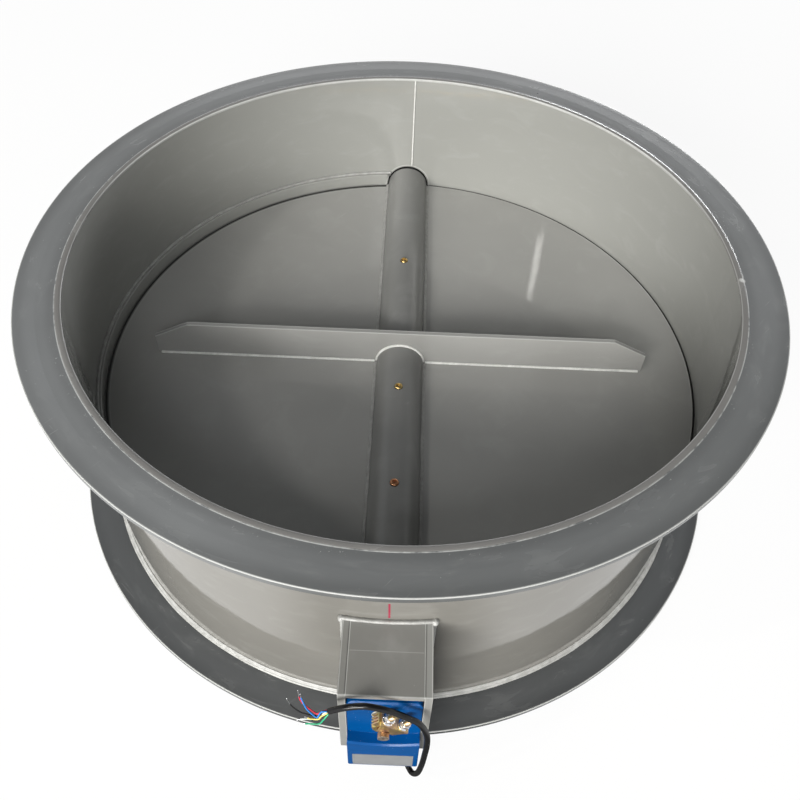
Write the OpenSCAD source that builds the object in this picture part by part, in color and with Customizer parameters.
// Motorized round duct damper: a welded plastic duct section with a flange at each end,
// one disc blade on a cross sleeve, and a geared rotary actuator in a bracket at the front.
// Millimetres, +Z up. The origin is the centre of the lower flange's underside, the blade's
// axis runs along Y, and the actuator is on the -Y side.

/* [Duct] */
// Inner radius of the duct
bore_r = 400; // [360:1:450]
// Wall thickness of the duct
wall_t = 8; // [6:0.5:10]
// Length of the duct from flange face to flange face
duct_h = 356; // [340:1:420]
// Height of the blade's axis above the lower flange face
axis_z = 168; // [160:1:180]
// Sideways place of the shell's weld seam at the back
seam_x = 6; // [0:0.5:12]
// Radius of the seam bead
seam_r = 2.5; // [2:0.1:3]
// How far the seam bead stands out of the wall
seam_proud = 1.5; // [0.5:0.1:1.6]

/* [Flanges] */
// Width of each flange ring outside the duct wall
flange_w = 45; // [30:1:60]
// Thickness of each flange ring
flange_t = 8; // [6:0.5:12]
// Leg of the weld bead between flange and wall
flange_weld = 5; // [3:0.5:7]

/* [Blade] */
// Gap between the blade's edge and the wall
blade_gap = 3; // [2.6:0.1:5]
// Thickness of the blade
blade_t = 12; // [10:0.5:15]
// Outer radius of the sleeve pipe
sleeve_r = 31.5; // [29:0.5:34]
// Wall of the sleeve pipe
sleeve_wall = 6; // [5:0.5:7]
// Gap between the sleeve's ends and the wall
sleeve_gap = 3; // [2.6:0.1:5]
// Radius of the bead between sleeve and blade
sleeve_weld = 5; // [3:0.5:6]

/* [Rib] */
// Length of the cross rib
rib_l = 662; // [500:1:680]
// Height of the cross rib above the blade
rib_h = 54; // [44:1:64]
// Thickness of the cross rib
rib_t = 6; // [5:0.5:8]
// Height of the rib's end edges
rib_tip_h = 30; // [20:1:40]
// Length of the slope at each end of the rib
rib_slope = 46; // [30:1:60]
// Leg of the bead along the rib
rib_weld = 4; // [3:0.5:5]

/* [Sleeve screws] */
// Place of the rear screw along the sleeve
screw_back_y = 170; // [140:1:200]
// Place of the middle screw along the sleeve
screw_mid_y = -75; // [-100:1:-50]
// Place of the front screw along the sleeve
screw_front_y = -225; // [-260:1:-190]
// Radius of a screw head
screw_head_r = 5.5; // [4.5:0.1:6.5]
// Height of a screw head
screw_head_h = 3; // [2:0.1:4]
// Radius of a screw shank
screw_shank_r = 2.2; // [1.8:0.1:2.6]
// Length of a screw shank
screw_shank_l = 14; // [11:0.5:18]
// Depth of the flat seat cut in the sleeve's crown
screw_seat = 1; // [0.8:0.1:1.4]

/* [Stops] */
// Thickness of the stop strips
stop_t = 6; // [4.5:0.1:8]
// Height of the stop strips
stop_h = 20; // [15:1:26]
// Gap between a stop strip and the shut blade
stop_gap = 0.5; // [0.3:0.1:0.8]
// Gap between the strips' ends and the sleeve
stop_end_gap = 2; // [1.5:0.5:4]
// Leg of the bead on each stop strip
stop_weld = 5; // [3:0.5:6]

/* [Shaft] */
// Radius of the shaft
shaft_r = 6; // [5.5:0.1:6.3]
// Length of shaft beyond the actuator's upper face
shaft_proud = 23.5; // [21:0.5:26]
// Wall of the steel core inside the sleeve
core_wall = 3; // [2:0.5:4]
// Length of core between its end and the sleeve's end
core_inset = 7; // [4:0.5:10]
// Length of the shaft plugs inside the core
plug_l = 30; // [20:1:40]
// Length of shaft beyond the rear boss
rear_reach = 9; // [6:0.5:10]

/* [Bearings] */
// Outer radius of the shaft bushes
bush_r = 10; // [9:0.5:11]
// Radius of the bush flanges
bush_flange_r = 14; // [13:0.5:14.5]
// Thickness of the bush flanges
bush_flange_t = 2; // [1.5:0.1:2.4]
// How far a bush stands into the duct
bush_proud = 1.5; // [1:0.1:2]
// Radius of the wall bosses
boss_r = 32; // [28:1:36]
// Thickness of the wall bosses
boss_t = 13; // [12:0.5:15]
// Thickness of the shaft seals
seal_t = 2; // [1.5:0.1:2.3]
// Outer radius of the shaft seals
seal_r = 11; // [9:0.5:12]

/* [Rear cap] */
// Radius of the cap's foot
cap_foot_r = 26; // [25:0.5:28]
// Thickness of the cap's foot
cap_foot_t = 4; // [3:0.5:5]
// Radius of the cap's dome
cap_dome_r = 17; // [16:0.5:18]
// Length of the cap
cap_l = 15; // [14:0.5:20]
// Wall of the cap
cap_wall = 2.5; // [2:0.1:3]
// Radius of the cap's screw circle
cap_screw_pcd_r = 21.5; // [21:0.1:22.5]
// Radius of the small screws' shanks
small_shank_r = 1.8; // [1.5:0.1:2]
// Radius of the small screws' heads
small_head_r = 3.2; // [2.8:0.1:3.4]
// Height of the small screws' heads
small_head_h = 2.4; // [2:0.1:3]
// Length of the small screws' shanks
small_shank_l = 12; // [9:0.5:13]

/* [Bracket] */
// Clear width between the bracket's side plates
bracket_w = 78; // [77.6:0.2:84]
// Thickness of the bracket's plates
plate_t = 8; // [6:0.5:10]
// Reach of the bracket from the duct's wall
bracket_reach = 79; // [74:0.5:79.5]
// Height of the bracket's top face above the blade's axis
bracket_rise = 48; // [44:1:56]
// Height of the side plates
side_h = 150; // [130:1:160]
// Leg of the bracket's weld beads
bracket_weld = 4; // [3:0.5:5]

/* [Actuator housing] */
// Width of the actuator
act_w = 76.6; // [75:0.2:77.2]
// Height of the actuator above the blade's axis
act_up = 31; // [30:0.5:33]
// Height of the actuator below the blade's axis
act_down = 122; // [118:0.5:126]
// Gap between the front boss and the actuator's back
act_gap = 5; // [4.6:0.1:6]
// Depth of the actuator at the hub
act_depth = 62; // [60:0.5:64]
// How far the lower front stands out from the upper front
front_step = 13; // [11:0.5:15]
// Depth of the housing's base shell
base_depth = 40; // [38:0.5:42]
// Wall of the housing
housing_wall = 2.5; // [2:0.1:3]
// Corner radius of the housing
housing_corner = 6; // [5:0.5:8]
// Chamfer along the housing's front edges
front_chamfer = 2; // [1:0.1:2.5]
// Drop from the axis to the lowest point of the hub recess
recess_drop = 54; // [50:0.5:58]
// Radius of the hub recess's lower edge
recess_r = 120; // [100:1:150]
// Inset of the housing screws from the housing's sides
post_inset = 6; // [5.5:0.1:6.5]
// Radius of the housing's screw posts
post_r = 4.5; // [4.2:0.1:5]
// Length of the screw posts inside the cover
cover_post_l = 10; // [9:0.5:11]

/* [Label] */
// Width of the blank label
label_w = 66; // [50:1:68]
// Height of the blank label
label_h = 33; // [25:1:34]
// Thickness of the blank label
label_t = 0.4; // [0.2:0.1:0.6]
// Height of the label's lower edge above the actuator's bottom
label_rise = 4.5; // [4:0.5:8]

/* [Clamp] */
// Angle of the clamp bolts above the horizontal
clamp_angle = 52; // [45:1:60]
// Radius of the U-bolt's rod
rod_r = 3; // [2.5:0.1:3.2]
// Distance between the U-bolt's legs
leg_pitch = 20; // [19:0.2:22]
// Distance from the axis to the ends of the legs
leg_end = 30; // [28:0.5:31]
// Distance from the axis to the yoke's nut face
yoke_top = 18.3; // [17.5:0.1:19]
// Thickness of the yoke's sheet
yoke_t = 3; // [2.5:0.1:3.2]
// Length of the yoke
yoke_l = 34; // [32:0.5:36]
// Width of the yoke
yoke_w = 14; // [13.5:0.1:14.4]
// Gap between the actuator's upper face and the yoke
yoke_gap = 4.5; // [4:0.1:5]
// Distance between opposite flats of a clamp nut
nut_flats = 10; // [9:0.1:10.5]
// Height of a clamp nut's hexagon
nut_h = 5; // [4:0.1:5.5]
// Radius of a clamp nut's flange
nut_flange_r = 6.5; // [6:0.1:7]
// Thickness of a clamp nut's flange
nut_flange_t = 1.5; // [1:0.1:2]
// Height of the toothed jaw along the legs
jaw_h = 12; // [10:0.5:13]
// Thickness of the toothed jaw
jaw_t = 6; // [5:0.5:7]
// Width of the grooves in the toothed jaw
jaw_groove = 1.4; // [1:0.1:1.8]

/* [Hub and gears] */
// Outer radius of the output hub
hub_r = 11; // [10.5:0.1:11.2]
// How far the hub stands out of the actuator's upper face
hub_proud = 3; // [2:0.1:3.4]
// Outer radius of the hub's bushes
hub_bush_r = 13; // [12.6:0.1:13.5]
// Radius of the flanges on the hub's bushes
hub_bush_flange_r = 15; // [14:0.5:16]
// Length of the hub's bushes
hub_bush_l = 6; // [5:0.5:7]
// Gear module: pitch diameter over tooth count
gear_module = 1; // [1:0.001:1.01]
// Width of the output gear
output_gear_w = 8; // [6:0.5:8]
// Width of the two wheels
wheel_w = 4; // [3:0.5:4]
// Gap between one gear layer and the next
layer_gap = 2; // [1.5:0.1:2]
// Depth from the base's inner face to the output gear
gear_start = 5.5; // [5:0.1:6]
// Radius of the gear axles
axle_r = 2; // [1.6:0.1:2.2]
// Radius of the plain hubs of the two wheels
wheel_hub_r = 3.5; // [3:0.1:3.8]
// Thickness of the gear plate
gear_plate_t = 2; // [1.5:0.1:2.5]
// Width of the gear plate
gear_plate_w = 66; // [64:0.5:68]
// Radius of the limit cam
cam_r = 13.5; // [13:0.1:14]
// Radius of the limit cam's lobe
cam_lobe_r = 16; // [15:0.1:16.5]

/* [Drive and electrics] */
// Radius of the motor
motor_r = 17; // [15:0.5:18]
// Length of the motor
motor_l = 38; // [30:0.5:38]
// Radius of the motor's shaft
motor_shaft_r = 1.5; // [1.2:0.1:2]
// Width of the circuit board
board_w = 50; // [44:1:52]
// Height of the circuit board
board_h = 40; // [34:1:42]
// Thickness of the circuit board
board_t = 1.6; // [1:0.1:2]
// Gap between the base's inner face and the board
board_gap = 2.5; // [2:0.1:3]
// Width of a limit switch
switch_w = 12; // [10:0.5:13]
// Height of a limit switch
switch_h = 18; // [16:0.5:20]
// Depth of a limit switch
switch_d = 6; // [5:0.5:7]
// Gap from the hub's axis to a limit switch
switch_x = 18; // [17.5:0.1:19]

/* [Release button] */
// Sideways place of the release button
button_x = -15; // [-20:0.5:-12]
// Distance of the button behind the gear plate's layer
button_back = 6; // [5:0.5:8]
// Radius of the release button
button_r = 4; // [3.5:0.1:4.5]
// How far the button stands out of the housing
button_proud = 3.5; // [3:0.1:4]
// Radius of the button's collar
button_collar_r = 5.5; // [5.2:0.1:6]
// Thickness of the button's collar
button_collar_t = 1.5; // [1:0.1:2]
// Travel of the button
button_travel = 3; // [2:0.1:3]
// Length of the spring at rest
spring_l = 11.5; // [10:0.5:12]
// Radius of the button's stem
stem_r = 2; // [1.8:0.1:2.2]

/* [Anti-rotation strap] */
// Width of the strap
strap_w = 20; // [18:1:24]
// Height of the strap
strap_h = 30; // [28:1:32]
// Thickness of the strap
strap_t = 2; // [1.5:0.1:2.2]
// Radius of the strap's pin
strap_pin_r = 2.5; // [2:0.1:2.8]
// Height of the pin above the actuator's bottom
strap_pin_rise = 8; // [7.5:0.1:9]
// Thickness of the pad that carries the strap
pad_t = 10; // [10:0.1:11]
// Width of the pad
pad_w = 30; // [26:1:34]

/* [Cable] */
// Radius of the cable
cable_r = 3.2; // [2.8:0.1:3.4]
// Radius of a conductor with its insulation
wire_r = 0.8; // [0.6:0.1:0.9]
// Radius of the cable gland's flanges
gland_r = 7.5; // [7:0.1:8]
// Radius of the cable gland's neck
gland_neck_r = 6; // [5.5:0.1:6.4]
// How far the gland stands out of the housing
gland_proud = 5; // [4:0.5:6]

/* [Hidden] */
// Radial clearance of a shaft that turns in a bush
running = 0.06;
// Clearance between pieces that are fitted together and stay so
fit = 0.05;
// Clearance round pieces that slide or turn freely
free = 0.3;
// Overrun of every cut
over = 1;
// Share of the sleeve's radius where the stop strips and their beads are cut off
stop_end_share = 0.85;
// Share of a screw's shank that its socket takes
socket_share = 0.7;
// Share of the yoke's sheet that its bent webs keep, and the webs' shares of its length
web_share = 0.8;
web_end_share = 0.47;
web_foot_share = 0.27;
// Places of the jaw's grooves, as shares of the yoke's width
groove_shares = [0.3, 0.52, 0.74];
// Share of the housing's wall that the gland's inner lip takes
lip_share = 0.8;
// Places and sizes of the board's parts, as shares of the board
chip_x_shares = [0.05, 0.45];
chip_z_shares = [0.05, 0.25];
can_x_shares = [0.18, 0.4];
can_z_share = 0.6;
can_r_share = 0.1;
can_l_share = 0.8;
// Radius of the pillars that carry the gear plate and the circuit board
pillar_r = 2.5;
// Margin of the gear plate round the motor and the hub
gear_plate_rim = 7;
// Facets of large and small round shapes
$fn = 96;
fine = 360;
small = 32;

outer_r = bore_r + wall_t;
flange_r = outer_r + flange_w;
blade_r = bore_r - blade_gap;
sleeve_half = bore_r - sleeve_gap;
core_r = sleeve_r - sleeve_wall - fit;
core_half = sleeve_half - core_inset;
plug_r = core_r - core_wall - fit;
screw_ys = [screw_back_y, screw_mid_y, screw_front_y];
screw_seat_z = axis_z + sleeve_r - screw_seat;

boss_face = outer_r + boss_t;
act_back = -(boss_face + act_gap);
act_face = act_back - act_depth;
act_front = act_face - front_step;
split_y = act_back - base_depth;
inner_back = act_back - housing_wall;
inner_face = act_face + housing_wall;
inner_front = act_front + housing_wall;
act_top = axis_z + act_up;
act_bottom = axis_z - act_down;
inner_bottom = act_bottom + housing_wall;
recess_z = axis_z - recess_drop + recess_r;
post_xs = [-(act_w / 2 - post_inset), act_w / 2 - post_inset];
post_zs = [act_bottom + post_inset, act_top - post_inset];
shaft_end = act_face - shaft_proud;

bracket_front = -(outer_r + bracket_reach);
bracket_top = axis_z + bracket_rise;
side_bottom = bracket_top - side_h;
side_x = bracket_w / 2;

// Gear layers, each as its back and front face
hub_teeth = 54;
wheel_teeth = 40;
pinion_teeth = 12;
layer_1 = inner_back - gear_start;
layer_1_end = layer_1 - output_gear_w;
layer_2 = layer_1_end - layer_gap;
layer_2_end = layer_2 - wheel_w;
layer_3 = layer_2_end - layer_gap;
layer_3_end = layer_3 - wheel_w;
plate_back = layer_3_end - layer_gap;
plate_front = plate_back - gear_plate_t;
wheel_2_z = axis_z - (hub_teeth + pinion_teeth) * gear_module / 2;
wheel_1_z = wheel_2_z - (wheel_teeth + pinion_teeth) * gear_module / 2;
motor_z = wheel_1_z - (wheel_teeth + pinion_teeth) * gear_module / 2;

button_y = plate_back + button_back;
collar_z = inner_bottom + fit;
spring_z = collar_z + button_collar_t;
seat_z = spring_z + spring_l;
seat_t = housing_wall;

pin_z = act_bottom + strap_pin_rise;
pad_face = -(outer_r + pad_t);
strap_face = pad_face - strap_t;
strap_bottom = pin_z - strap_pin_r * 2;

clamp_y = act_face - yoke_gap - yoke_w / 2;
bend_u = leg_pitch / 2 - rod_r - shaft_r - fit;

// One step of the routes below, which count from the hub's centre on the actuator's upper face
route_step = 1;
// Route of the cable, from inside the gland to its bare end
cable_route = route_step * [
    [24, 2, -114], [24, 2, -120], [24, 2, -127], [26, 0, -136], [29, -6, -143],
    [34, -14, -140], [39, -20, -118], [42, -22, -84], [44, -20, -53], [45, -18, -26],
    [43, -16, -2], [35, -14, 20], [24, -13, 31], [13, -12, 39], [3, -12, 47], [-8, -12, 53],
    [-20, -12, 56], [-34, -12, 52], [-46, -12, 45], [-54, -12, 39]
];
// Routes of the bare conductors, from the cable's end
wire_routes = route_step * [
    [[-54, -13, 40], [-61, -14, 41], [-65, -16, 32], [-69, -15, 35], [-75, -13, 46],
     [-79, -10, 62], [-80, -9, 73]],
    [[-54, -11, 40], [-60, -13, 40], [-65, -14, 36], [-69, -13, 39], [-77, -11, 51],
     [-81, -9, 61], [-82, -7, 77]],
    [[-54, -11, 38], [-60, -12, 34], [-66, -13, 28], [-77, -13, 32], [-83, -13, 38],
     [-90, -12, 51], [-93, -11, 65]],
    [[-54, -13, 38], [-61, -16, 35], [-64, -17, 30], [-71, -17, 30], [-77, -17, 35]],
    [[-54, -14, 37], [-59, -18, 31], [-63, -19, 23], [-69, -19, 22], [-84, -19, 21]],
    [[-54, -12, 39], [-59, -14, 37], [-64, -15, 25], [-71, -15, 24], [-79, -16, 26],
     [-86, -17, 25]]
];
gland_x = cable_route[0].x;
gland_y = act_face + cable_route[0].y;

// Helpers

// Round bar along Y between two places
module bar_y(r, low, high, x = 0, z = axis_z) {
    translate([x, high, z]) rotate([90, 0, 0]) cylinder(h = high - low, r = r);
}

// Drawing in X and Z, extruded along Y between two places
module slab_y(low, high) {
    translate([0, high, 0]) rotate([90, 0, 0]) linear_extrude(high - low) children();
}

// Block between two corners
module block(low, high) {
    translate(low) cube(high - low);
}

// Ring about Z whose section is drawn as radius and height
module ring_z(points) {
    rotate_extrude($fn = fine) polygon(points);
}

// Solid cylinder that fills the duct out to a radius
module fill_z(r, low, high) {
    translate([0, 0, low]) cylinder(h = high - low, r = r, $fn = fine);
}

// Rectangle with round corners
module round_rect(low, high, r) {
    translate([low.x + r, low.y]) square([high.x - low.x - 2 * r, high.y - low.y]);
    translate([low.x, low.y + r]) square([high.x - low.x, high.y - low.y - 2 * r]);
    for (x = [low.x + r, high.x - r], y = [low.y + r, high.y - r])
        translate([x, y]) circle(r, $fn = small);
}

// Small screw along Y: head towards the direction side, its seat at a given place
module small_screw(seat, side, x, z) {
    low = side > 0 ? seat - small_shank_l : seat - small_head_h;
    mid = seat;
    high = side > 0 ? seat + small_head_h : seat + small_shank_l;
    bar_y(side > 0 ? small_shank_r : small_head_r, low, mid, x, z, $fn = small);
    bar_y(side > 0 ? small_head_r : small_shank_r, mid, high, x, z, $fn = small);
}

// Hole for a small screw's shank
module small_hole(seat, side, x, z) {
    end = side > 0 ? seat - small_shank_l - fit : seat + small_shank_l + fit;
    bar_y(small_shank_r + fit, min(seat, end), max(seat, end), x, z, $fn = small);
}

// Gear outline with involute flanks, one tooth centred at angle zero
pressure = 20;
play_share = 0.12;
root_share = 1.2;
tip_share = 0.9;
function involute(a) = tan(a) * 180 / PI - a;
function base_r(n) = n * gear_module / 2 * cos(pressure);
function half_tooth(n, r) =
    90 / n * (1 - play_share) + involute(pressure) - involute(acos(min(1, base_r(n) / r)));
function flank(n) =
    let (tip = (n / 2 + tip_share) * gear_module,
         root = (n / 2 - root_share) * gear_module,
         start = max(root, base_r(n)),
         steps = 4)
    concat(
        root < start ? [[root, half_tooth(n, start)]] : [],
        [for (i = [0 : steps]) let (r = start + (tip - start) * i / steps) [r, half_tooth(n, r)]]
    );
function gear_points(n) =
    let (side = flank(n), last = len(side) - 1)
    [for (tooth = [0 : n - 1], i = [0 : 2 * last + 1])
        let (p = i <= last ? side[i] : side[2 * last + 1 - i],
             a = tooth * 360 / n + (i <= last ? -p[1] : p[1]))
        p[0] * [cos(a), sin(a)]];

// Gear on an axis along Y, between two places, with a tooth at the angle named by phase
module gear_y(n, low, high, z, phase) {
    translate([0, 0, z]) rotate([0, -phase, 0]) slab_y(low, high) polygon(gear_points(n));
}

// Smooth tube along a route, made of rings square to it
function ahead(route, i) = route[min(i + 1, len(route) - 1)];
function behind(route, i) = route[max(i - 1, 0)];
function on_curve(route, i, t) =
    let (a = route[i], b = route[i + 1],
         da = (ahead(route, i) - behind(route, i)) / 2,
         db = (ahead(route, i + 1) - behind(route, i + 1)) / 2)
    a * (2 * t * t * t - 3 * t * t + 1) + da * (t * t * t - 2 * t * t + t)
    + b * (3 * t * t - 2 * t * t * t) + db * (t * t * t - t * t);
function curve(route, steps) =
    [for (i = [0 : len(route) - 2], s = [0 : steps - 1]) on_curve(route, i, s / steps),
     route[len(route) - 1]];
function unit(v) = v / norm(v);
module tube(route, r, sides, steps) {
    path = curve(route, steps);
    count = len(path);
    up = [0.3, 1, 0.2];
    rings = [for (i = [0 : count - 1])
        let (way = unit(path[min(i + 1, count - 1)] - path[max(i - 1, 0)]),
             across = unit(cross(up, way)),
             other = cross(way, across))
        for (k = [0 : sides - 1])
            path[i] + r * (cos(360 * k / sides) * across + sin(360 * k / sides) * other)];
    start = [for (k = [sides - 1 : -1 : 0]) k];
    finish = [for (k = [0 : sides - 1]) (count - 1) * sides + k];
    walls = [for (i = [0 : count - 2], k = [0 : sides - 1])
        let (a = i * sides + k, b = i * sides + (k + 1) % sides)
        [[a, b, b + sides], [a, b + sides, a + sides]]];
    faces = concat([start], [for (w = walls, f = w) f], [finish]);
    polyhedron(rings, [for (f = faces) [for (i = [len(f) - 1 : -1 : 0]) f[i]]]);
}

// Duct casing

module duct_shell() {
    color("lightgray") difference() {
        fill_z(outer_r, 0, duct_h);
        fill_z(bore_r, -over, duct_h + over);
        bar_y(bush_r + fit, -outer_r - over, outer_r + over);
    }
}

module flange(low) {
    color("gray")
        ring_z([[outer_r, low], [flange_r, low], [flange_r, low + flange_t], [outer_r, low + flange_t]]);
}

module upper_flange() {
    flange(duct_h - flange_t);
}

module lower_flange() {
    flange(0);
}

// Fillet bead in the corner between the wall and a flat ring
module wall_bead(r, corner_z, out, up) {
    ring_z([[r, corner_z], [r + out, corner_z], [r, corner_z + up]]);
}

module upper_flange_weld() {
    color("whitesmoke") wall_bead(outer_r, duct_h - flange_t, flange_weld, -flange_weld);
}

module lower_flange_weld() {
    color("whitesmoke") wall_bead(outer_r, flange_t, flange_weld, flange_weld);
}

// Vertical bead on the inside at the back, left open at the stop and the bush
module shell_seam_weld() {
    turn = -asin(seam_x / bore_r);
    wall_y = bore_r * cos(asin(seam_r / bore_r)) - fit;
    lower_end = lower_stop_z - stop_weld - free;
    upper_end = axis_z + bush_r * 2;
    color("whitesmoke") rotate([0, 0, turn])
        for (span = [[0, lower_end], [upper_end, duct_h]])
            difference() {
                translate([0, bore_r + seam_r - seam_proud, span[0]])
                    cylinder(h = span[1] - span[0], r = seam_r, $fn = small);
                block([-bore_r, wall_y, -over], [bore_r, outer_r, duct_h + over]);
            }
}

// Half ring on the side where x is negative (-1) or positive (+1), clear of the sleeve
module half_ring(side, points) {
    end_x = side * sleeve_r * stop_end_share;
    difference() {
        ring_z(points);
        block([side < 0 ? end_x : -outer_r, -outer_r, -over],
              [side < 0 ? outer_r : end_x, outer_r, duct_h]);
        bar_y(sleeve_r + stop_end_gap, -outer_r, outer_r);
    }
}

module stop_strip(side, low) {
    color("lightgray") half_ring(side, [
        [bore_r - stop_t, low], [bore_r, low],
        [bore_r, low + stop_h], [bore_r - stop_t, low + stop_h]
    ]);
}

upper_stop_z = axis_z + stop_gap;
lower_stop_z = axis_z - blade_t - stop_gap - stop_h;

module upper_stop() {
    stop_strip(-1, upper_stop_z);
}

module lower_stop() {
    stop_strip(1, lower_stop_z);
}

module upper_stop_weld() {
    top = upper_stop_z + stop_h;
    color("whitesmoke")
        half_ring(-1, [[bore_r - stop_weld, top], [bore_r, top], [bore_r, top + stop_weld]]);
}

module lower_stop_weld() {
    color("whitesmoke") half_ring(1, [
        [bore_r - stop_weld, lower_stop_z], [bore_r, lower_stop_z],
        [bore_r, lower_stop_z - stop_weld]
    ]);
}

// Bearings

module wall_boss(side) {
    low = side < 0 ? -boss_face : bore_r;
    color("gainsboro") difference() {
        bar_y(boss_r, low, low + boss_t + wall_t);
        fill_z(outer_r, 0, duct_h);
        bar_y(bush_r + fit, low - over, low + boss_t + wall_t + over);
        if (side > 0) cap_screw_holes();
    }
}

module front_boss() {
    wall_boss(-1);
}

module rear_boss() {
    wall_boss(1);
}

module shaft_bush(side) {
    inside = side * (bore_r - bush_proud);
    face = side * boss_face;
    tip = face + side * bush_flange_t;
    color("ivory") difference() {
        union() {
            bar_y(bush_r, min(inside, tip), max(inside, tip), $fn = small);
            bar_y(bush_flange_r, min(face, tip), max(face, tip));
        }
        bar_y(shaft_r + running, -boss_face * 2, boss_face * 2);
    }
}

module front_bush() {
    shaft_bush(-1);
}

module rear_bush() {
    shaft_bush(1);
}

module shaft_seals() {
    face = boss_face + bush_flange_t;
    color("black") for (low = [-face - seal_t, face])
        difference() {
            bar_y(seal_r, low, low + seal_t);
            bar_y(shaft_r + running, low - over, low + seal_t + over);
        }
}

cap_angles = [30, 150, 270];

module cap_screw_holes() {
    for (a = cap_angles)
        small_hole(boss_face + cap_foot_t, 1,
                   cap_screw_pcd_r * cos(a), axis_z + cap_screw_pcd_r * sin(a));
}

module rear_cap() {
    color("gainsboro") difference() {
        union() {
            bar_y(cap_foot_r, boss_face, boss_face + cap_foot_t);
            bar_y(cap_dome_r, boss_face, boss_face + cap_l);
        }
        bar_y(cap_dome_r - cap_wall, boss_face - over, boss_face + cap_l - cap_wall);
        cap_screw_holes();
    }
}

module rear_cap_screws() {
    color("silver") for (a = cap_angles)
        small_screw(boss_face + cap_foot_t, 1,
                    cap_screw_pcd_r * cos(a), axis_z + cap_screw_pcd_r * sin(a));
}

// Actuator bracket

module side_plate(side) {
    near = side * side_x;
    far = side * (side_x + plate_t);
    color("gainsboro") difference() {
        block([min(near, far), bracket_front, side_bottom], [max(near, far), -bore_r, bracket_top]);
        fill_z(outer_r, 0, duct_h);
    }
}

module bracket_left_plate() {
    side_plate(-1);
}

module bracket_right_plate() {
    side_plate(1);
}

module bracket_top_plate() {
    color("gainsboro") difference() {
        block([-side_x, bracket_front, bracket_top - plate_t], [side_x, -bore_r, bracket_top]);
        fill_z(outer_r, 0, duct_h);
    }
}

module bracket_welds() {
    half = side_x + plate_t;
    top_half = half - bracket_weld / 2;
    corner_y = -sqrt(pow(outer_r, 2) - pow(half, 2));
    color("whitesmoke") {
        intersection() {
            wall_bead(outer_r, bracket_top, bracket_weld, bracket_weld);
            block([-top_half, -flange_r, 0], [top_half, 0, duct_h]);
        }
        for (side = [-1, 1])
            difference() {
                translate([side * half, corner_y, side_bottom])
                    cylinder(h = side_h, r = bracket_weld, $fn = small);
                fill_z(outer_r, 0, duct_h);
                block([-half, -flange_r, 0], [half, 0, duct_h]);
            }
    }
}

module strap_pad() {
    color("gainsboro") difference() {
        block([-pad_w / 2, pad_face, strap_bottom], [pad_w / 2, -bore_r, strap_bottom + strap_h]);
        fill_z(outer_r, 0, duct_h);
        strap_screw_holes();
    }
}

strap_screw_z_shares = [0.55, 0.85];

module strap_screw_holes() {
    for (share = strap_screw_z_shares)
        bar_y(small_shank_r + fit, strap_face - over, pad_face + pad_t - wall_t / 4,
              0, strap_bottom + strap_h * share, $fn = small);
}

module anti_rotation_strap() {
    color("silver") {
        difference() {
            block([-strap_w / 2, strap_face, strap_bottom],
                  [strap_w / 2, pad_face, strap_bottom + strap_h]);
            strap_screw_holes();
        }
        bar_y(strap_pin_r, inner_back - housing_wall / 2, strap_face + strap_t / 2, 0, pin_z,
              $fn = small);
    }
}

module strap_screws() {
    color("silver") for (share = strap_screw_z_shares) {
        z = strap_bottom + strap_h * share;
        bar_y(small_head_r, strap_face - small_head_h, strap_face, 0, z, $fn = small);
        bar_y(small_shank_r, strap_face, pad_face + pad_t - wall_t / 4, 0, z, $fn = small);
    }
}

// Blade

module sleeve_solid() {
    bar_y(sleeve_r, -sleeve_half, sleeve_half);
}

module blade_half(side) {
    color("darkgray") difference() {
        fill_z(blade_r, axis_z - blade_t, axis_z);
        block([side < 0 ? 0 : -outer_r, -outer_r, 0], [side < 0 ? outer_r : 0, outer_r, duct_h]);
        bar_y(sleeve_r, -outer_r, outer_r);
    }
}

module blade_left_half() {
    blade_half(-1);
}

module blade_right_half() {
    blade_half(1);
}

module sleeve_pipe() {
    color("dimgray") difference() {
        sleeve_solid();
        bar_y(core_r + fit, -outer_r, outer_r);
        for (y = screw_ys) {
            translate([0, y, screw_seat_z]) cylinder(h = sleeve_r, r = screw_head_r + free);
            translate([0, y, axis_z]) cylinder(h = sleeve_r, r = screw_shank_r + fit, $fn = small);
        }
    }
}

// Four beads along the sleeve, left open where the rib crosses
module sleeve_welds() {
    low_x = sqrt(pow(sleeve_r, 2) - pow(blade_t, 2));
    half = sleeve_half - sleeve_weld - free;
    break_y = rib_t / 2 + rib_weld;
    color("whitesmoke") difference() {
        for (side = [-1, 1]) {
            bar_y(sleeve_weld, -half, half, side * sleeve_r, axis_z, $fn = small);
            bar_y(sleeve_weld, -half, half, side * low_x, axis_z - blade_t, $fn = small);
        }
        bar_y(sleeve_r, -outer_r, outer_r);
        fill_z(blade_r, axis_z - blade_t, axis_z);
        block([-outer_r, -break_y, axis_z], [outer_r, break_y, duct_h]);
    }
}

module cross_rib() {
    half = rib_l / 2;
    color("lightgray") difference() {
        slab_y(-rib_t / 2, rib_t / 2) polygon([
            [-half, axis_z], [half, axis_z],
            [half, axis_z + rib_tip_h], [half - rib_slope, axis_z + rib_h],
            [rib_slope - half, axis_z + rib_h], [-half, axis_z + rib_tip_h]
        ]);
        bar_y(sleeve_r, -rib_t, rib_t);
    }
}

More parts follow.
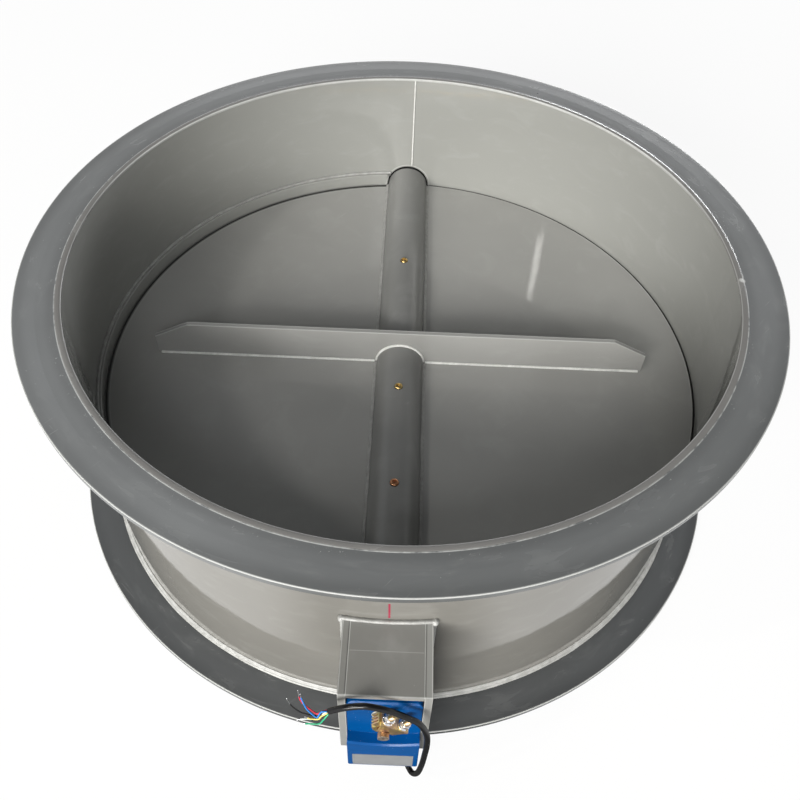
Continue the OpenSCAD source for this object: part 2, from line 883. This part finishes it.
// Fillet beads along both faces of the rib and round the sleeve
module rib_welds() {
    half = rib_l / 2 - rib_weld;
    face = rib_t / 2;
    color("whitesmoke") difference() {
        for (side = [-1, 1]) {
            translate([-half, 0, axis_z]) rotate([90, 0, 90]) linear_extrude(2 * half)
                polygon([[side * face, 0], [side * (face + rib_weld), 0], [side * face, rib_weld]]);
            translate([0, 0, axis_z]) rotate([90, 0, 0]) rotate_extrude()
                polygon([
                    [0, side * face], [sleeve_r + rib_weld, side * face],
                    [sleeve_r, side * (face + rib_weld)], [0, side * (face + rib_weld)]
                ]);
        }
        bar_y(sleeve_r, -outer_r, outer_r);
        block([-outer_r, -outer_r, 0], [outer_r, outer_r, axis_z]);
    }
}

module core_tube() {
    color("slategray") difference() {
        bar_y(core_r, -core_half, core_half);
        bar_y(core_r - core_wall, -outer_r, outer_r);
        for (y = screw_ys)
            translate([0, y, axis_z]) cylinder(h = sleeve_r, r = screw_shank_r + fit, $fn = small);
    }
}

module front_shaft() {
    color("peru") {
        bar_y(plug_r, -core_half, plug_l - core_half);
        bar_y(shaft_r, shaft_end, plug_l / 2 - core_half, $fn = small);
    }
}

module rear_shaft() {
    color("peru") {
        bar_y(plug_r, core_half - plug_l, core_half);
        bar_y(shaft_r, core_half - plug_l / 2, boss_face + rear_reach, $fn = small);
    }
}

module sleeve_screws() {
    socket_r = screw_shank_r * socket_share;
    color("gold") for (y = screw_ys)
        translate([0, y, screw_seat_z]) difference() {
            union() {
                cylinder(h = screw_head_h, r = screw_head_r, $fn = small);
                translate([0, 0, -screw_shank_l])
                    cylinder(h = screw_shank_l, r = screw_shank_r, $fn = small);
            }
            translate([0, 0, screw_head_h / 2])
                cylinder(h = screw_head_h, r = socket_r, $fn = small);
        }
}

// Actuator housing

module housing_outline(inset) {
    round_rect([-act_w / 2 + inset, act_bottom + inset], [act_w / 2 - inset, act_top - inset],
               housing_corner - inset);
}

button_hole_r = button_r + free;
pillar_zs = [motor_z - motor_r, wheel_2_z + wheel_hub_r * 3];
pillar_x = gear_plate_w / 2 - pillar_r - free;
board_z = inner_bottom + board_gap;
board_back = inner_back - board_gap;

module housing_posts(low, high) {
    for (x = post_xs, z = post_zs)
        bar_y(post_r, low, high, x, z, $fn = small);
}

module actuator_base() {
    color("royalblue") difference() {
        union() {
            difference() {
                slab_y(split_y, act_back) housing_outline(0);
                slab_y(split_y - over, inner_back) housing_outline(housing_wall);
            }
            intersection() {
                slab_y(split_y, act_back) housing_outline(housing_wall / 2);
                union() {
                    housing_posts(split_y, inner_back + housing_wall / 2);
                    block([-act_w / 2, button_y - button_collar_r, seat_z],
                          [button_x + button_collar_r, button_y + button_collar_r, seat_z + seat_t]);
                }
            }
            for (x = [-pillar_x, pillar_x], z = pillar_zs)
                bar_y(pillar_r, plate_back, inner_back + housing_wall / 2, x, z, $fn = small);
            for (x = [-1, 1], z = [board_z + pillar_r, board_z + board_h - pillar_r])
                bar_y(pillar_r, board_back, inner_back + housing_wall / 2,
                      x * (board_w / 2 - pillar_r), z, $fn = small);
        }
        bar_y(hub_bush_r + fit, inner_back - over, act_back + over);
        translate([button_x, button_y, act_bottom - over])
            cylinder(h = housing_wall + 2 * over, r = button_hole_r, $fn = small);
        translate([button_x, button_y, seat_z - over])
            cylinder(h = seat_t + 2 * over, r = stem_r + free, $fn = small);
        block([-strap_pin_r - free, inner_back - over, pin_z - strap_pin_r - strap_t],
              [strap_pin_r + free, act_back + over, pin_z + strap_pin_r + free]);
        for (x = post_xs, z = post_zs) {
            bar_y(small_head_r + free, screw_seat_y, act_back + over, x, z, $fn = small);
            bar_y(small_shank_r + fit, split_y - over, screw_seat_y + over, x, z, $fn = small);
        }
    }
}

// Seat of the housing screws: the length of a shank, less its bite, behind the split
screw_bite_share = 0.6;
screw_seat_y = split_y + small_shank_l * (1 - screw_bite_share);

module hub_recess(grow) {
    bar_y(recess_r + grow, act_front - over, act_face + grow, 0, recess_z, $fn = fine);
}

module actuator_cover() {
    color("royalblue") difference() {
        intersection() {
            slab_y(act_front, split_y) housing_outline(0);
            rotate([90, 0, 90]) translate([0, 0, -act_w]) linear_extrude(2 * act_w) polygon([
                [split_y, act_bottom], [act_front + front_chamfer, act_bottom],
                [act_front, act_bottom + front_chamfer], [act_front, axis_z], [act_face, axis_z],
                [act_face, act_top - front_chamfer], [act_face + front_chamfer, act_top],
                [split_y, act_top]
            ]);
        }
        difference() {
            slab_y(inner_front, inner_face + over) housing_outline(housing_wall);
            hub_recess(housing_wall);
        }
        difference() {
            slab_y(inner_face, split_y + over) housing_outline(housing_wall);
            housing_posts(split_y - cover_post_l, split_y);
        }
        hub_recess(0);
        translate([0, act_front + front_chamfer, recess_z]) rotate([90, 0, 0])
            cylinder(h = 2 * front_chamfer, r1 = recess_r, r2 = recess_r + 2 * front_chamfer,
                     $fn = fine);
        bar_y(hub_bush_r + fit, act_face - over, inner_face + over);
        translate([gland_x, gland_y, act_bottom - over])
            cylinder(h = housing_wall + 2 * over, r = gland_neck_r + fit, $fn = small);
        for (x = post_xs, z = post_zs)
            bar_y(small_shank_r + fit, screw_seat_y - small_shank_l - fit, split_y + over, x, z,
                  $fn = small);
    }
}

module housing_screws() {
    color("silver") for (x = post_xs, z = post_zs)
        small_screw(screw_seat_y, 1, x, z);
}

module label_plate() {
    low = act_bottom + label_rise;
    color("whitesmoke")
        block([-label_w / 2, act_front - label_t, low], [label_w / 2, act_front, low + label_h]);
}

module hub_bushes() {
    color("ivory") difference() {
        union() {
            bar_y(hub_bush_r, act_back - hub_bush_l, act_back);
            bar_y(hub_bush_flange_r, inner_back - housing_wall / 2, inner_back);
            bar_y(hub_bush_r, act_face, act_face + hub_bush_l);
            bar_y(hub_bush_flange_r, inner_face, inner_face + housing_wall / 2);
        }
        bar_y(hub_r + running, act_front, act_back + over);
    }
}

// Drive train

module output_hub() {
    color("gold") difference() {
        bar_y(hub_r, act_face - hub_proud, act_back);
        bar_y(shaft_r + fit, act_front, act_back + over);
    }
}

module output_gear() {
    color("silver") difference() {
        gear_y(hub_teeth, layer_1_end, layer_1, axis_z, -90);
        bar_y(hub_r + fit, act_front, act_back);
    }
}

module limit_cam() {
    color("orange") difference() {
        union() {
            bar_y(cam_r, layer_3_end, layer_3);
            intersection() {
                bar_y(cam_lobe_r, layer_3_end, layer_3);
                block([-cam_r / 3, layer_3_end, axis_z], [cam_r / 3, layer_3, axis_z + act_up]);
            }
        }
        bar_y(hub_r + fit, act_front, act_back);
    }
}

// Wheel with its pinion behind it, on a hub that turns on a fixed axle
module compound_gear(z, wheel_layer, wheel_end, pinion_layer, pinion_end) {
    color("khaki") difference() {
        union() {
            gear_y(wheel_teeth, wheel_end, wheel_layer, z, -90);
            gear_y(pinion_teeth, wheel_layer - wheel_w / 2, pinion_layer, z, 90 + 180 / pinion_teeth);
            bar_y(wheel_hub_r, plate_back + free, inner_back - free, 0, z, $fn = small);
        }
        bar_y(axle_r + running, plate_front, act_back, 0, z, $fn = small);
    }
}

module second_gear() {
    compound_gear(wheel_2_z, layer_2, layer_2_end, layer_1, layer_1_end);
}

module first_gear() {
    compound_gear(wheel_1_z, layer_3, layer_3_end, layer_2, layer_2_end);
}

motor_shaft_in = motor_l / 5;

module motor_pinion() {
    color("silver") {
        gear_y(pinion_teeth, layer_3_end, layer_3, motor_z, 90 + 180 / pinion_teeth);
        bar_y(motor_shaft_r, plate_front - motor_shaft_in, layer_3 + layer_gap / 2, 0, motor_z,
              $fn = small);
    }
}

module gear_axles() {
    color("silver") for (z = [wheel_1_z, wheel_2_z])
        bar_y(axle_r, plate_front, inner_back, 0, z, $fn = small);
}

module gear_plate() {
    low = motor_z - motor_r - gear_plate_rim;
    high = axis_z + hub_r + layer_gap + gear_plate_rim;
    color("silver") difference() {
        block([-gear_plate_w / 2, plate_front, low], [gear_plate_w / 2, plate_back, high]);
        bar_y(hub_r + layer_gap, act_front, act_back);
        for (z = [wheel_1_z, wheel_2_z])
            bar_y(axle_r + fit, act_front, act_back, 0, z, $fn = small);
        bar_y(motor_shaft_r + free, act_front, act_back, 0, motor_z, $fn = small);
    }
}

module motor() {
    color("silver") difference() {
        bar_y(motor_r, plate_front - motor_l, plate_front, 0, motor_z);
        bar_y(motor_shaft_r + running, plate_front - motor_shaft_in - free, plate_front + over, 0,
              motor_z, $fn = small);
    }
}

module circuit_board() {
    face = board_back - board_t;
    tall = gear_start + output_gear_w / 2;
    color("darkgreen") {
        block([-board_w / 2, face, board_z], [board_w / 2, board_back, board_z + board_h]);
        block([board_w * chip_x_shares[0], face - tall, board_z + board_h * chip_z_shares[0]],
              [board_w * chip_x_shares[1], face, board_z + board_h * chip_z_shares[1]]);
        for (share = can_x_shares)
            bar_y(board_h * can_r_share, face - tall * can_l_share, face, board_w * share,
                  board_z + board_h * can_z_share, $fn = small);
    }
}

module limit_switches() {
    color("black") for (side = [-1, 1]) {
        near = side * switch_x;
        far = side * (switch_x + switch_w);
        block([min(near, far), plate_back, axis_z - switch_h / 2],
              [max(near, far), plate_back + switch_d, axis_z + switch_h / 2]);
    }
}

// Release button

module release_button() {
    color("black") translate([button_x, button_y, 0]) {
        translate([0, 0, act_bottom - button_proud])
            cylinder(h = collar_z - act_bottom + button_proud + button_collar_t / 2, r = button_r,
                     $fn = small);
        translate([0, 0, collar_z]) cylinder(h = button_collar_t, r = button_collar_r, $fn = small);
        translate([0, 0, collar_z])
            cylinder(h = button_collar_t + spring_l + seat_t, r = stem_r, $fn = small);
    }
}

module release_spring() {
    inner = stem_r + free;
    color("silver") translate([button_x, button_y, spring_z]) difference() {
        cylinder(h = spring_l, r = (inner + button_collar_r) / 2, $fn = small);
        translate([0, 0, -over]) cylinder(h = spring_l + 2 * over, r = inner, $fn = small);
    }
}

// Shaft clamp, drawn with its legs along X and then turned to their angle

module clamp_frame() {
    translate([0, clamp_y, axis_z]) rotate([0, -clamp_angle, 0]) children();
}

module bar_u(r, low, high, v) {
    translate([low, 0, v]) rotate([0, 90, 0]) cylinder(h = high - low, r = r, $fn = small);
}

module clamp_u_bolt() {
    pitch_r = leg_pitch / 2;
    color("goldenrod") clamp_frame() {
        for (v = [-pitch_r, pitch_r])
            bar_u(rod_r, bend_u, leg_end, v);
        difference() {
            translate([bend_u, 0, 0]) rotate([90, 0, 0]) rotate_extrude()
                translate([pitch_r, 0]) circle(rod_r, $fn = small);
            block([bend_u, -leg_pitch, -leg_pitch], [leg_end, leg_pitch, leg_pitch]);
        }
    }
}

module clamp_yoke() {
    half_w = yoke_w / 2;
    under = yoke_top - yoke_t;
    apex = (shaft_r + fit) * sqrt(2);
    reach = shaft_r / 2;
    web_t = yoke_t * web_share;
    web_end = yoke_l * web_end_share;
    web_foot = yoke_l * web_foot_share;
    jaw_v = leg_pitch / 2 + rod_r + free;
    color("goldenrod") clamp_frame() difference() {
        union() {
            block([under, -half_w, -yoke_l / 2], [yoke_top, half_w, yoke_l / 2]);
            for (low = [-half_w, half_w - web_t])
                slab_y(low, low + web_t) polygon([
                    [under + yoke_t / 2, -web_end], [under + yoke_t / 2, web_end],
                    [reach, web_foot], [reach, apex - reach], [apex, 0],
                    [reach, reach - apex], [reach, -web_foot]
                ]);
            block([yoke_top - jaw_h - yoke_t / 2, yoke_t - half_w, jaw_v],
                  [under + yoke_t / 2, half_w, jaw_v + jaw_t]);
        }
        for (v = [-leg_pitch / 2, leg_pitch / 2])
            bar_u(rod_r + fit, 0, yoke_top + over, v);
        for (share = groove_shares)
            block([0, yoke_w * share - half_w, jaw_v + jaw_t / 2],
                  [under, yoke_w * share - half_w + jaw_groove, jaw_v + jaw_t + over]);
    }
}

module clamp_nuts() {
    color("silver") clamp_frame() for (v = [-leg_pitch / 2, leg_pitch / 2]) difference() {
        union() {
            bar_u(nut_flange_r, yoke_top, yoke_top + nut_flange_t, v);
            translate([yoke_top, 0, v]) rotate([0, 90, 0])
                cylinder(h = nut_flange_t + nut_h, r = nut_flats / sqrt(3), $fn = 6);
        }
        bar_u(rod_r + fit, 0, leg_end * 2, v);
    }
}

// Cable

module cable_gland() {
    lip = housing_wall * lip_share;
    color("black") translate([gland_x, gland_y, 0]) difference() {
        union() {
            translate([0, 0, act_bottom - gland_proud])
                cylinder(h = gland_proud, r = gland_r, $fn = small);
            translate([0, 0, act_bottom - gland_proud])
                cylinder(h = gland_proud + housing_wall + lip, r = gland_neck_r, $fn = small);
            translate([0, 0, inner_bottom]) cylinder(h = lip, r = gland_r, $fn = small);
        }
        translate([0, 0, act_bottom - gland_proud - over])
            cylinder(h = gland_proud + act_up, r = cable_r, $fn = small);
    }
}

module cable() {
    color("black") translate([0, act_face, axis_z]) tube(cable_route, cable_r, 10, 2);
}

module cable_conductors() {
    shades = ["dodgerblue", "red", "black", "yellow", "green", "white"];
    for (i = [0 : len(wire_routes) - 1])
        color(shades[i]) translate([0, act_face, axis_z]) tube(wire_routes[i], wire_r, 8, 2);
}

duct_shell();
upper_flange();
lower_flange();
upper_flange_weld();
lower_flange_weld();
shell_seam_weld();
upper_stop();
lower_stop();
upper_stop_weld();
lower_stop_weld();
front_boss();
rear_boss();
front_bush();
rear_bush();
shaft_seals();
rear_cap();
rear_cap_screws();
bracket_top_plate();
bracket_left_plate();
bracket_right_plate();
bracket_welds();
strap_pad();
anti_rotation_strap();
strap_screws();
blade_left_half();
blade_right_half();
sleeve_pipe();
sleeve_welds();
cross_rib();
rib_welds();
core_tube();
front_shaft();
rear_shaft();
sleeve_screws();
actuator_base();
actuator_cover();
housing_screws();
label_plate();
hub_bushes();
output_hub();
output_gear();
limit_cam();
second_gear();
first_gear();
motor_pinion();
gear_axles();
gear_plate();
motor();
circuit_board();
limit_switches();
release_button();
release_spring();
clamp_yoke();
clamp_u_bolt();
clamp_nuts();
cable_gland();
cable();
cable_conductors();
